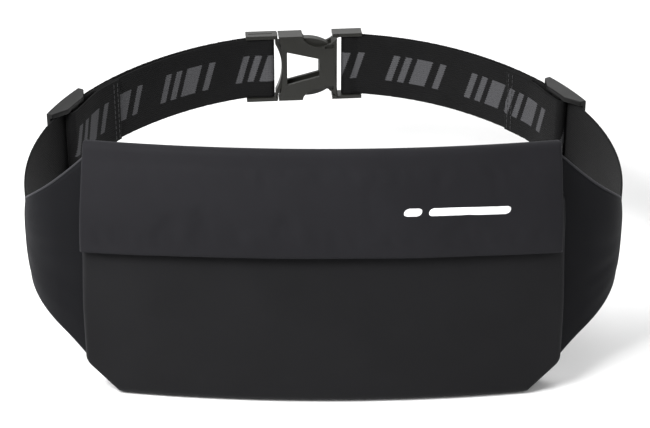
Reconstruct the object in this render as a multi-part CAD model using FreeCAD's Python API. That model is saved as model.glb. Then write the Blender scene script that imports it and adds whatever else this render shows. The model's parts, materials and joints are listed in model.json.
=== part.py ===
import FreeCAD, Part
import math
import os

# Waist pack with a fold-over flap, two tapered side wings, a doubled elastic belt with
# slide adjusters and a side-release buckle. Millimetres, +Z up, worn upright: the pouch
# faces -Y, the wearer's waist runs along Z, and the origin is the middle of the belt loop.

# ---- driving dimensions ----
WEB_WIDTH = 38.0            # elastic webbing
WEB_THICKNESS = 1.4
LOOP_HALF_WIDTH = 156.5     # the belt loop is an oval of three arcs, to the middle of the web
LOOP_BACK = 163.0
SIDE_CENTRE_X = -20.0       # centre of the arc along the right-hand side
SIDE_CENTRE_Y = -7.0
INNER_LAYER = -3.45         # middle of the inner layer, outwards from the main run
TAIL_LAYER = -1.85          # middle of the sewn-back end, between the two layers
BAR_LAYER = -6.85           # middle of the web where it passes inside the slider's bar

POUCH_WIDTH = 236.0
POUCH_BOTTOM = -74.5
POUCH_TOP = 65.5
POUCH_AXIS_Y = 604.0        # centre of the pouch's gentle curve in plan
BACK_RADIUS = 684.0         # middle of the back panel
POCKET_DEPTH = 12.0
PANEL_THICKNESS = 2.0
FLAP_THICKNESS = 1.6
FLAP_HALF_ANGLE = 9.75
FLAP_LOWER_EDGE = 12.6
FLAP_BEND = 25.0            # above this height the flap and the front panel lean back
FLAP_LEAN = 11.0
MOUTH_HEIGHT = 38.0         # top edge of the front panel, under the flap
MOUTH_LEAN = 5.0
FLAP_TOP = 59.5
FOOT_RADIUS = 5.0           # rounded lower front edge, outside and inside
INNER_FOOT_RADIUS = 3.5
ROLL_RADIUS = 3.2           # middle of the cloth where it rolls over the top of the pouch
BACK_TOP = 61.5
CORNER_WIDTH = 17.0         # slanted lower corners of the front panel
CORNER_HEIGHT = 18.0
BACK_CORNER_WIDTH = 8.0     # smaller slants on the back panel, which the wings carry on
BACK_CORNER_HEIGHT = 10.0

WING_RADIUS = 22.0          # the belt line turns from the pouch to the strap on this radius
WING_LAYER = 1.2
WING_TOP = 55.0
WING_BOTTOM = -64.0
WING_END_TOP = 20.3
WING_END_BOTTOM = -22.5
WING_OVERLAP = 0.8          # degrees that the wing reaches along the side arc

RIGHT_SLIDER_ANGLE = 28.2   # about the side arc's centre
LEFT_SLIDER_ANGLE = 22.6    # about the left side arc's centre, from -X
SLIDER_HALF_LENGTH = 5.85   # degrees along the belt
SLIDER_HALF_HEIGHT = 22.4
SLIDER_RAIL_IN = 1.2        # outwards from the main run
SLIDER_RAIL_OUT = 3.7
SLIDER_OUTER_BAR = 2.0      # degrees
SLIDER_GAP = 0.5            # between the edges of the web and the caps above and below it
CAP_HALF = 2.9              # degrees, where the caps reach in to the middle bar
CAP_END_IN = 0.0            # inner side of the caps at their ends
SLIDER_BAR_IN = -5.6
SLIDER_BAR_OUT = -3.2
SLIDER_BAR_START = -1.2     # degrees from the middle of the slider
SLIDER_BAR_STOP = 1.0
SEWN_END_LENGTH = 14.5      # degrees along the belt, from the slider's bar to the cut end

BUCKLE_ANGLE = 94.9         # the buckle sits a little to the left of the middle of the back
BUCKLE_INSET = 4.7          # middle plane of the buckle, inwards from the main run
BUCKLE_HALF_THICKNESS = 5.0
CAVITY_HALF_THICKNESS = 3.0
PRONG_HALF_THICKNESS = 2.6
PLATE_HALF_HEIGHT = 21.0
RAIL_INNER = 19.3
RAIL_OUTER = 21.5
RAIL_HALF_THICKNESS = 4.0
MOUTH_AT = -15.4            # along the belt from the buckle's middle, + towards the right
COLLAR_END = -1.0
COLLAR_WALL = 17.2
WINDOW_LEFT = -10.3
WINDOW_RIGHT = 9.1
PRONG_PIVOT = (-12.6, 15.05)
FOLD_RADIUS = 2.4           # middle of the web where it turns round a strap bar
INNER_BAR_HALF = 1.45
SOCKET_FOLD = 22.4          # nearest point of each fold to the buckle's middle
PLUG_FOLD = 17.6
STRAP_MEETS_BUCKLE = 37.0   # along the belt from the buckle's middle
OUTER_BAR_START = 31.0      # thin bar of each half, between the two layers of web
OUTER_BAR_STOP = 33.4
OUTER_BAR_SHIFT = -0.9
PLUG_RUN_END = 124.0        # degrees, where the plug's own stretch of web ends
PLUG_RUN_GAP = 1.0          # degrees between that stretch and the fixed main run

TALL = 400.0                # longer than anything that it cuts

V = FreeCAD.Vector
ORIGIN = V(0, 0, 0)
UP = V(0, 0, 1)
POUCH_AXIS = V(0, POUCH_AXIS_Y, 0)


# ---- plan geometry ----
def on_circle(radius, degrees, centre=ORIGIN):
    angle = math.radians(degrees)
    return V(centre.x + radius * math.cos(angle), centre.y + radius * math.sin(angle), 0)


def plan_arc(centre, radius, start, stop):
    middle = (start + stop) / 2
    points = [on_circle(radius, degrees, centre) for degrees in (start, middle, stop)]
    return Part.Arc(*points).toShape()


def raise_face(edges, low, high):
    """A solid with this outline in plan, between two heights."""
    face = Part.Face(Part.Wire(edges))
    face.translate(V(0, 0, low))
    return face.extrude(V(0, 0, high - low))


def band(stretches, inward, outward, low, high):
    """A wall that follows joined arcs, from inward to outward of their line."""
    outer = [plan_arc(c, r + outward, a, b) for c, r, a, b in stretches]
    inner = [plan_arc(c, r + inward, b, a) for c, r, a, b in reversed(stretches)]
    first = stretches[0]
    last = stretches[-1]
    stop_line = Part.makeLine(
        on_circle(last[1] + outward, last[3], last[0]),
        on_circle(last[1] + inward, last[3], last[0]),
    )
    start_line = Part.makeLine(
        on_circle(first[1] + inward, first[2], first[0]),
        on_circle(first[1] + outward, first[2], first[0]),
    )
    return raise_face(outer + [stop_line] + inner + [start_line], low, high)


def side_piece(inward, outward, start, stop, low, high):
    """A piece that follows the side arc."""
    return band([(SIDE_CENTRE, SIDE_RADIUS, start, stop)], inward, outward, low, high)


def on_side(layer, degrees):
    return on_circle(SIDE_RADIUS + layer, degrees, SIDE_CENTRE)


def other_side(shape):
    return shape.mirror(ORIGIN, V(1, 0, 0))


def direction(start, stop):
    return math.degrees(math.atan2(stop.y - start.y, stop.x - start.x))


def back_arc():
    """The arc across the wearer's back, tangent to both side arcs: centre, radius, junction."""
    spare = SIDE_RADIUS - LOOP_BACK
    y = (SIDE_CENTRE_X ** 2 + SIDE_CENTRE_Y ** 2 - spare ** 2) / (2 * (spare + SIDE_CENTRE_Y))
    centre = V(0, y, 0)
    return centre, LOOP_BACK - y, direction(SIDE_CENTRE, centre)


def wing_arc():
    """The arc that joins the pouch to the side arc: centre, its angles at the side and pouch."""
    reach_side = SIDE_RADIUS - WING_RADIUS
    reach_pouch = BACK_RADIUS - WING_RADIUS
    apart = POUCH_AXIS - SIDE_CENTRE
    along = (reach_side ** 2 - reach_pouch ** 2 + apart.Length ** 2) / (2 * apart.Length)
    across = math.sqrt(reach_side ** 2 - along ** 2)
    unit = V(apart.x, apart.y, 0).normalize()
    centre = SIDE_CENTRE + unit * along + V(unit.y, -unit.x, 0) * across
    return centre, direction(SIDE_CENTRE, centre), direction(POUCH_AXIS, centre)


SIDE_CENTRE = V(SIDE_CENTRE_X, SIDE_CENTRE_Y, 0)
SIDE_RADIUS = LOOP_HALF_WIDTH - SIDE_CENTRE_X
BACK_CENTRE, LOOP_RADIUS, JUNCTION_ANGLE = back_arc()
BUCKLE_RADIUS = LOOP_RADIUS - BUCKLE_INSET
WING_CENTRE, STRAP_ANGLE, WING_ANGLE = wing_arc()
POUCH_HALF_ANGLE = math.degrees(math.asin(POUCH_WIDTH / 2 / BACK_RADIUS))


# ---- pouch ----
def pouch_sweep(points, half_angle):
    """Sweeps a section, given as (radius, height) corners, along the pouch's curve."""
    corners = [V(0, POUCH_AXIS_Y - radius, height) for radius, height in points]
    face = Part.Face(Part.makePolygon(corners + corners[:1]))
    face.rotate(POUCH_AXIS, UP, -half_angle)
    return face.revolve(POUCH_AXIS, UP, 2 * half_angle)


def rounded_foot(radius, foot, size, steps=6):
    """Corners along the rounded lower front edge, from the bottom up."""
    turns = [math.radians(90.0 * step / steps) for step in range(steps + 1)]
    return [
        (radius - size + size * math.sin(turn), foot + size - size * math.cos(turn))
        for turn in turns
    ]


def lower_corners(width, height, inset):
    """Wedges that slant both lower corners of the pouch."""
    side = POUCH_WIDTH / 2 + 30.0
    slope = height / width
    start = POUCH_WIDTH / 2 - width - inset * 1.4
    foot = POUCH_BOTTOM - 5.0
    corners = [
        V(start - 5.0 / slope, 0, foot),
        V(side, 0, foot),
        V(side, 0, POUCH_BOTTOM + (side - start) * slope),
    ]
    wedge = Part.Face(Part.makePolygon(corners + corners[:1])).extrude(V(0, -TALL, 0))
    return wedge.fuse(other_side(wedge))


def front_face_radius(height):
    """Outer face of the front panel: upright below, leaning back above the bend."""
    front = BACK_RADIUS + PANEL_THICKNESS / 2 + POCKET_DEPTH + PANEL_THICKNESS
    lean = MOUTH_LEAN * max(0.0, height - FLAP_BEND) / (MOUTH_HEIGHT - FLAP_BEND)
    return front - lean


def make_front_panel():
    back = BACK_RADIUS + PANEL_THICKNESS / 2
    front = front_face_radius(0)
    outer = [(back, POUCH_BOTTOM)] + rounded_foot(front, POUCH_BOTTOM, FOOT_RADIUS)
    outer += [(front, FLAP_BEND), (front_face_radius(MOUTH_HEIGHT), MOUTH_HEIGHT)]
    outer += [(back, MOUTH_HEIGHT)]
    floor = POUCH_BOTTOM + PANEL_THICKNESS
    inside = front - PANEL_THICKNESS
    rim = MOUTH_HEIGHT + 10.0
    inner = [(back - 5.0, floor)] + rounded_foot(inside, floor, INNER_FOOT_RADIUS)
    inner += [(inside, FLAP_BEND), (front_face_radius(rim) - PANEL_THICKNESS, rim)]
    inner += [(back - 5.0, rim)]
    side_wall = math.degrees(PANEL_THICKNESS / BACK_RADIUS)
    slants = lower_corners(CORNER_WIDTH, CORNER_HEIGHT, 0.0)
    inner_slants = lower_corners(CORNER_WIDTH, CORNER_HEIGHT, PANEL_THICKNESS)
    shell = pouch_sweep(outer, POUCH_HALF_ANGLE).cut(slants)
    pocket = pouch_sweep(inner, POUCH_HALF_ANGLE - side_wall)
    return shell.cut(pocket.cut(inner_slants))


def panel(radius, thickness, low, high, half_angle):
    inner = radius - thickness / 2
    outer = radius + thickness / 2
    return pouch_sweep([(inner, low), (outer, low), (outer, high), (inner, high)], half_angle)


def make_back_panel():
    plain = panel(BACK_RADIUS, PANEL_THICKNESS, POUCH_BOTTOM, BACK_TOP, POUCH_HALF_ANGLE)
    return plain.cut(lower_corners(BACK_CORNER_WIDTH, BACK_CORNER_HEIGHT, 0.0))


def make_divider():
    foot = POUCH_BOTTOM + 5.0
    top = MOUTH_HEIGHT + 5.0
    plain = panel(BACK_RADIUS + 2.0, 0.8, foot, top, POUCH_HALF_ANGLE - 0.5)
    return plain.cut(lower_corners(CORNER_WIDTH, CORNER_HEIGHT, 4.0))


def make_top_fold():
    """The cloth rolls over the top on a small radius, from the back panel to the flap."""
    centre = BACK_RADIUS - PANEL_THICKNESS / 2 + ROLL_RADIUS + FLAP_THICKNESS / 2
    turns = [math.radians(180.0 - 20.0 * step) for step in range(7)]
    outer = ROLL_RADIUS + FLAP_THICKNESS / 2
    inner = ROLL_RADIUS - FLAP_THICKNESS / 2
    foot = POUCH_TOP - outer
    corners = [(centre + outer * math.cos(t), foot + outer * math.sin(t)) for t in turns]
    corners += [
        (centre + inner * math.cos(t), foot + inner * math.sin(t)) for t in reversed(turns)
    ]
    return pouch_sweep(corners, POUCH_HALF_ANGLE)


def flap_face_radius(height):
    """Outer face of the flap."""
    upright = front_face_radius(0) + 3.6
    lean = FLAP_LEAN * max(0.0, height - FLAP_BEND) / (FLAP_TOP - FLAP_BEND)
    return upright - lean


def make_flap():
    heights = (FLAP_LOWER_EDGE, FLAP_BEND, FLAP_TOP)
    outer = [(flap_face_radius(height), height) for height in heights]
    inner = [(radius - FLAP_THICKNESS, height) for radius, height in reversed(outer)]
    return pouch_sweep(outer + inner, FLAP_HALF_ANGLE)


def make_hook_strip():
    thickness = 0.7
    half_angle = 3.5
    radius = flap_face_radius(0) - FLAP_THICKNESS - thickness / 2
    return panel(radius, thickness, FLAP_LOWER_EDGE + 2.5, FLAP_BEND - 1.0, half_angle)


def make_loop_strip():
    thickness = 0.6
    half_angle = 4.2
    radius = front_face_radius(0) + thickness / 2
    return panel(radius, thickness, FLAP_LOWER_EDGE + 1.0, FLAP_BEND - 0.5, half_angle)


def make_mouth_tape():
    size = 1.6
    radius = front_face_radius(MOUTH_HEIGHT) - PANEL_THICKNESS / 2
    return panel(radius, size, MOUTH_HEIGHT, MOUTH_HEIGHT + size, POUCH_HALF_ANGLE - 0.2)


# ---- wings and webbing, built for the right-hand side ----
def wing_outline():
    """A block with the wing's shape in front view. Both edges are straight once laid flat."""
    pouch_turn = WING_ANGLE - (POUCH_HALF_ANGLE - 90.0)
    first = BACK_RADIUS * math.radians(pouch_turn)
    second = WING_RADIUS * math.radians(STRAP_ANGLE - WING_ANGLE)
    third = SIDE_RADIUS * math.radians(WING_OVERLAP)
    steps = 8
    upper = []
    lower = []
    for step in range(steps + 1):
        degrees = WING_ANGLE + (STRAP_ANGLE - WING_ANGLE) * step / steps
        run = first + second * step / steps
        x = on_circle(WING_RADIUS, degrees, WING_CENTRE).x
        share = run / (first + second + third)
        upper.append((x, WING_TOP + (WING_END_TOP - WING_TOP) * share))
        lower.append((x, WING_BOTTOM + (WING_END_BOTTOM - WING_BOTTOM) * share))
    start = POUCH_WIDTH / 2 - 1.0
    beyond = upper[-1][0] + 20.0
    outline = [(start, WING_TOP)] + upper + [(beyond, WING_END_TOP), (beyond, WING_END_BOTTOM)]
    outline += lower[::-1] + [(start, WING_BOTTOM)]
    corners = [V(x, 0, height) for x, height in outline]
    block = Part.Face(Part.makePolygon(corners + corners[:1]))
    block.translate(V(0, -TALL / 2, 0))
    return block.extrude(V(0, TALL, 0))


def make_wing_layer(inward, outward):
    stretches = [
        (POUCH_AXIS, BACK_RADIUS, POUCH_HALF_ANGLE - 90.0, WING_ANGLE),
        (WING_CENTRE, WING_RADIUS, WING_ANGLE, STRAP_ANGLE),
        (SIDE_CENTRE, SIDE_RADIUS, STRAP_ANGLE, STRAP_ANGLE + WING_OVERLAP),
    ]
    wall = band(stretches, inward, outward, POUCH_BOTTOM, POUCH_TOP)
    return wall.common(wing_outline())


def make_main_run(stop):
    """The web from inside the wing, through the slider, on as the outer layer."""
    half = WEB_THICKNESS / 2
    stretches = [
        (WING_CENTRE, WING_RADIUS, STRAP_ANGLE - 30.0, STRAP_ANGLE),
        (SIDE_CENTRE, SIDE_RADIUS, STRAP_ANGLE, JUNCTION_ANGLE),
        (BACK_CENTRE, LOOP_RADIUS, JUNCTION_ANGLE, stop),
    ]
    return band(stretches, -half, half, -WEB_WIDTH / 2, WEB_WIDTH / 2)


def ribbon(path):
    """Webbing that stands on edge and follows a smooth line of points in plan."""
    half = WEB_THICKNESS / 2
    sides = []
    for side in (half, -half):
        points = []
        for index, point in enumerate(path):
            before = path[max(index - 1, 0)]
            after = path[min(index + 1, len(path) - 1)]
            along = (after - before).normalize()
            points.append(point + V(-along.y, along.x, 0) * side)
        sides.append(points)
    curves = []
    for points in sides:
        curve = Part.BSplineCurve()
        curve.interpolate(points)
        curves.append(curve.toShape())
    edges = [
        curves[0],
        Part.makeLine(sides[0][-1], sides[1][-1]),
        curves[1],
        Part.makeLine(sides[1][0], sides[0][0]),
    ]
    return raise_face(Part.sortEdges(edges)[0], -WEB_WIDTH / 2, WEB_WIDTH / 2)


def make_sewn_end(middle):
    """The inner layer dips round the slider's middle bar, and its end is stitched back."""
    turn = (TAIL_LAYER - BAR_LAYER) / 2
    bar_middle = middle + (SLIDER_BAR_START + SLIDER_BAR_STOP) / 2 - 1.1
    centre = on_side((TAIL_LAYER + BAR_LAYER) / 2, bar_middle)
    path = [
        on_side(TAIL_LAYER, middle + degrees)
        for degrees in (SEWN_END_LENGTH, 11.0, 8.0, 5.2, 2.4, 0.2)
    ]
    for step in range(7):
        path.append(centre + on_circle(turn, bar_middle - 30.0 * step))
    rise_length = 9.0
    for degrees in (0.5, 2.5, 4.5, 6.5, 8.5, 10.5, 12.5, SEWN_END_LENGTH):
        share = min(1.0, max(0.0, (degrees - 0.5) / rise_length))
        rise = share * share * (3 - 2 * share)
        layer = BAR_LAYER + (INNER_LAYER - BAR_LAYER) * rise
        path.append(on_side(layer, middle + degrees))
    return ribbon(path)


def slider_cap(start, stop, low, high):
    """Flat cap over the edge of the web, tapered in plan from its ends to the middle bar."""
    first = (start + stop) / 2 - CAP_HALF
    last = (start + stop) / 2 + CAP_HALF
    inner_radius = SIDE_RADIUS + SLIDER_BAR_IN
    corners = [
        on_side(SLIDER_RAIL_OUT, stop),
        on_side(CAP_END_IN, stop),
        on_side(SLIDER_BAR_IN, last),
    ]
    edges = [plan_arc(SIDE_CENTRE, SIDE_RADIUS + SLIDER_RAIL_OUT, start, stop)]
    edges += [Part.makeLine(a, b) for a, b in zip(corners, corners[1:])]
    edges.append(plan_arc(SIDE_CENTRE, inner_radius, last, first))
    corners = [
        on_side(SLIDER_BAR_IN, first),
        on_side(CAP_END_IN, start),
        on_side(SLIDER_RAIL_OUT, start),
    ]
    edges += [Part.makeLine(a, b) for a, b in zip(corners, corners[1:])]
    return raise_face(edges, low, high)


def make_slider(middle):
    """Caps above and below the web, two bars outside the belt and one inside it."""
    low = -SLIDER_HALF_HEIGHT
    high = SLIDER_HALF_HEIGHT
    cap = WEB_WIDTH / 2 + SLIDER_GAP
    start = middle - SLIDER_HALF_LENGTH
    stop = middle + SLIDER_HALF_LENGTH
    pieces = [slider_cap(start, stop, cap, high), slider_cap(start, stop, low, -cap)]
    for first, last in ((start, start + SLIDER_OUTER_BAR), (stop - SLIDER_OUTER_BAR, stop)):
        pieces.append(side_piece(SLIDER_RAIL_IN, SLIDER_RAIL_OUT, first, last, low, high))
    bar = (middle + SLIDER_BAR_START, middle + SLIDER_BAR_STOP)
    pieces.append(side_piece(SLIDER_BAR_IN, SLIDER_BAR_OUT, *bar, low, high))
    return pieces[0].fuse(pieces[1:]).removeSplitter()


# ---- buckle, built lying along X with its middle at the origin, then set in place ----
def set_in_place(shape):
    placed = shape.copy()
    placed.translate(BACK_CENTRE + V(0, BUCKLE_RADIUS, 0))
    placed.rotate(BACK_CENTRE, UP, BUCKLE_ANGLE - 90.0)
    return placed


def slab(edges, half_thickness):
    """A plate with this outline in the buckle's face, centred on its middle plane."""
    face = Part.Face(Part.Wire(Part.sortEdges(edges)[0]))
    face.translate(V(0, -half_thickness, 0))
    return face.extrude(V(0, 2 * half_thickness, 0))


def block(left, right, half_thickness, low, high):
    size = V(right - left, 2 * half_thickness, high - low)
    return Part.makeBox(size.x, size.y, size.z, V(left, -half_thickness, low))


def face_point(along, height):
    return V(along, 0, height)


def face_line(*points):
    places = [face_point(*point) for point in points]
    return [Part.makeLine(a, b) for a, b in zip(places, places[1:])]


def face_arc(start, middle, stop):
    return Part.Arc(face_point(*start), face_point(*middle), face_point(*stop)).toShape()


def up_and_down(shape):
    return shape.fuse(shape.mirror(ORIGIN, UP))


def bars(fold, sign):
    """The two strap bars of one half: a round-edged one in the fold, a thin one further out."""
    inner_start = fold + FOLD_RADIUS + WEB_THICKNESS / 2
    inner_stop = inner_start + 1.6
    span = 2 * RAIL_OUTER
    inner_bar = block(
        *sorted((sign * inner_start, sign * inner_stop)), INNER_BAR_HALF, -RAIL_OUTER, RAIL_OUTER
    )
    for along in (inner_start, inner_stop):
        edge = Part.makeCylinder(INNER_BAR_HALF, span, V(sign * along, 0, -RAIL_OUTER), UP)
        inner_bar = inner_bar.fuse(edge)
    ends = sorted((sign * OUTER_BAR_START, sign * OUTER_BAR_STOP))
    outer_bar = block(*ends, 0.5, -RAIL_OUTER, RAIL_OUTER)
    outer_bar.translate(V(0, OUTER_BAR_SHIFT, 0))
    return inner_bar.fuse(outer_bar)


def make_socket():
    """Two hollowed plates with side cut-outs and a window, and a strap end on the right."""
    flare = 20.5
    top = face_line((MOUTH_AT, PLATE_HALF_HEIGHT), (COLLAR_END, PLATE_HALF_HEIGHT), (-0.4, 18.8))
    waist = face_arc((-0.4, 18.8), (8.5, 13.7), (flare, PLATE_HALF_HEIGHT))
    bottom = face_line(
        (MOUTH_AT, -PLATE_HALF_HEIGHT), (COLLAR_END, -PLATE_HALF_HEIGHT), (-0.4, -18.8)
    )
    low_waist = face_arc((-0.4, -18.8), (8.5, -13.7), (flare, -PLATE_HALF_HEIGHT))
    right = face_line((flare, PLATE_HALF_HEIGHT), (flare, -PLATE_HALF_HEIGHT))
    mouth = face_arc(
        (MOUTH_AT, PLATE_HALF_HEIGHT), (MOUTH_AT + 2.6, 0), (MOUTH_AT, -PLATE_HALF_HEIGHT)
    )
    body = slab(top + [waist] + right + [low_waist] + bottom + [mouth], BUCKLE_HALF_THICKNESS)
    collar_hollow = block(
        MOUTH_AT - 1.0, COLLAR_END, CAVITY_HALF_THICKNESS, -COLLAR_WALL, COLLAR_WALL
    )
    open_sides = block(COLLAR_END, 16.5, CAVITY_HALF_THICKNESS, -TALL, TALL)
    body = body.cut(collar_hollow.fuse(open_sides))
    corners = [
        (WINDOW_LEFT, 10.8),
        (WINDOW_RIGHT, 5.8),
        (WINDOW_RIGHT, -5.8),
        (WINDOW_LEFT, -10.8),
        (WINDOW_LEFT, 10.8),
    ]
    body = body.cut(slab(face_line(*corners), TALL))
    body = body.cut(block(19.7, flare + 1.0, TALL, -RAIL_INNER, RAIL_INNER))
    rail = block(17.0, 34.8, RAIL_HALF_THICKNESS, RAIL_INNER, RAIL_OUTER)
    socket = body.fuse(up_and_down(rail)).fuse(bars(SOCKET_FOLD, 1))
    return socket.removeSplitter()


def make_plug():
    """Strap frame and a curved base bar, which carries the prongs just inside the mouth."""
    left = -17.2
    bow = 15.5
    edges = [face_arc((left, bow), (-13.4, 0), (left, -bow))]
    edges += face_line((left, bow), (left, RAIL_OUTER), (-12.6, RAIL_OUTER))
    edges += [face_arc((-12.6, RAIL_OUTER), (-10.6, 0), (-12.6, -RAIL_OUTER))]
    edges += face_line((-12.6, -RAIL_OUTER), (left, -RAIL_OUTER), (left, -bow))
    base = slab(edges, PRONG_HALF_THICKNESS)
    collar = block(MOUTH_AT - 0.4, 0, TALL, COLLAR_WALL - 0.4, TALL)
    base = base.cut(up_and_down(collar))
    seat = Part.makeCylinder(
        2.0, TALL, V(PRONG_PIVOT[0], -TALL / 2, PRONG_PIVOT[1]), V(0, 1, 0)
    )
    past_seat = block(PRONG_PIVOT[0], 0, TALL, PRONG_PIVOT[1] - 2.0, TALL)
    base = base.cut(up_and_down(seat.fuse(past_seat)))
    rail = block(-34.8, -16.2, RAIL_HALF_THICKNESS, RAIL_INNER, RAIL_OUTER)
    return base.fuse(up_and_down(rail)).fuse(bars(PLUG_FOLD, -1)).removeSplitter()


def make_prong(sign):
    """A flexible arm: round root, straight neck through the collar, wide barbed tab."""
    along, height = PRONG_PIVOT
    half_neck = 1.65
    shoulder = COLLAR_END + 0.4
    edges = face_line(
        (along, height + half_neck), (shoulder, height + half_neck), (shoulder, 18.8)
    )
    edges += [face_arc((shoulder, 18.8), (8.0, 17.9), (15.6, 13.9))]
    edges += [face_arc((15.6, 13.9), (16.1, 12.9), (15.2, 12.3))]
    edges += face_line((15.2, 12.3), (2.0, 12.3), (-2.0, height - half_neck))
    edges += face_line((-2.0, height - half_neck), (along, height - half_neck))
    edges += [
        face_arc(
            (along, height - half_neck), (along - half_neck, height), (along, height + half_neck)
        )
    ]
    prong = slab(edges, PRONG_HALF_THICKNESS)
    return prong if sign > 0 else prong.mirror(ORIGIN, UP)


def buckle_loop(fold, sign, arc_end):
    """Web round the strap bars of one half: outer leg, tight fold, inner leg."""
    leg = FOLD_RADIUS
    turn_at = fold + leg + WEB_THICKNESS / 2

    def on_belt(layer, along):
        radius = LOOP_RADIUS + layer
        return V(sign * along, math.sqrt(radius ** 2 - along ** 2) - BUCKLE_RADIUS, 0)

    path = [on_belt(0.0, along) for along in arc_end]
    path += [on_belt(0.0, STRAP_MEETS_BUCKLE), on_belt(0.0, 32.0)]
    path += [V(sign * (turn_at + 2.5), leg - 0.15, 0)]
    for step in range(7):
        turn = math.radians(90.0 - 30.0 * step)
        path.append(V(sign * (turn_at - leg * math.cos(turn)), leg * math.sin(turn), 0))
    path += [V(sign * (turn_at + 2.5), -leg - 0.1, 0)]
    path += [on_belt(INNER_LAYER, 32.0), on_belt(INNER_LAYER, STRAP_MEETS_BUCKLE)]
    return set_in_place(ribbon(path))


def make_inner_run(start, stop):
    """The inner layer, from the sewn end's stitches to the buckle."""
    half = WEB_THICKNESS / 2
    stretches = [
        (SIDE_CENTRE, SIDE_RADIUS, start, JUNCTION_ANGLE),
        (BACK_CENTRE, LOOP_RADIUS, JUNCTION_ANGLE, stop),
    ]
    return band(
        stretches, INNER_LAYER - half, INNER_LAYER + half, -WEB_WIDTH / 2, WEB_WIDTH / 2
    )


# ---- all nodes ----
def along_belt(degrees_from_buckle):
    """How far along the buckle's own line a place on the main run is."""
    return LOOP_RADIUS * math.sin(math.radians(degrees_from_buckle))


def loop_end(layer):
    """Degrees from the buckle's middle to where its loop of web meets the plain run."""
    return math.degrees(math.asin(STRAP_MEETS_BUCKLE / (LOOP_RADIUS + layer))) + 0.15


def make_nodes():
    half_wing_gap = WEB_THICKNESS / 2 + 0.1
    outer_wing = make_wing_layer(half_wing_gap, half_wing_gap + WING_LAYER)
    inner_wing = make_wing_layer(-half_wing_gap - WING_LAYER, -half_wing_gap)
    meets_main = loop_end(0.0)
    meets_inner = loop_end(INNER_LAYER)
    inner_gap = 0.3
    right_sewn_stop = RIGHT_SLIDER_ANGLE + SEWN_END_LENGTH + inner_gap
    left_sewn_stop = LEFT_SLIDER_ANGLE + SEWN_END_LENGTH + inner_gap
    plug_arc = [along_belt(PLUG_RUN_END - BUCKLE_ANGLE - 2.4 * step) for step in range(5)]
    left_inner = make_inner_run(left_sewn_stop, 180.0 - BUCKLE_ANGLE - meets_inner)
    return {
        "pouch_back_panel": make_back_panel(),
        "pouch_front_panel": make_front_panel(),
        "pouch_top_fold": make_top_fold(),
        "pocket_divider": make_divider(),
        "pocket_mouth_tape": make_mouth_tape(),
        "front_loop_strip": make_loop_strip(),
        "flap_panel": make_flap(),
        "flap_hook_strip": make_hook_strip(),
        "wing_outer_right": outer_wing,
        "wing_outer_left": other_side(outer_wing),
        "wing_inner_right": inner_wing,
        "wing_inner_left": other_side(inner_wing),
        "strap_main_right": make_main_run(BUCKLE_ANGLE - meets_main),
        "strap_main_left": other_side(make_main_run(180.0 - PLUG_RUN_END - PLUG_RUN_GAP)),
        "strap_loop_right": buckle_loop(SOCKET_FOLD, 1, []),
        "strap_loop_left": buckle_loop(PLUG_FOLD, -1, plug_arc),
        "strap_inner_right": make_inner_run(right_sewn_stop, BUCKLE_ANGLE - meets_inner),
        "strap_inner_left": other_side(left_inner),
        "strap_sewn_end_right": make_sewn_end(RIGHT_SLIDER_ANGLE),
        "strap_sewn_end_left": other_side(make_sewn_end(LEFT_SLIDER_ANGLE)),
        "slider_right": make_slider(RIGHT_SLIDER_ANGLE),
        "slider_left": other_side(make_slider(LEFT_SLIDER_ANGLE)),
        "buckle_socket": set_in_place(make_socket()),
        "buckle_plug": set_in_place(make_plug()),
        "prong_upper": set_in_place(make_prong(1)),
        "prong_lower": set_in_place(make_prong(-1)),
    }


def main():
    os.makedirs("parts", exist_ok=True)
    for name, shape in make_nodes().items():
        solids = shape.Solids
        shape = solids[0] if len(solids) == 1 else Part.makeCompound(solids)
        box = shape.BoundBox
        print(
            f"{name:22s} solids {len(solids)} valid {shape.isValid()} volume {shape.Volume:9.1f}"
            f"  x {box.XMin:7.1f} {box.XMax:7.1f}  y {box.YMin:7.1f} {box.YMax:7.1f}"
            f"  z {box.ZMin:6.1f} {box.ZMax:6.1f}"
        )
        shape.exportStep(f"parts/{name}.step")


main()
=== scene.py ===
import json
import math
import bmesh
import bpy
import numpy as np
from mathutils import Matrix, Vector, noise


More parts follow.
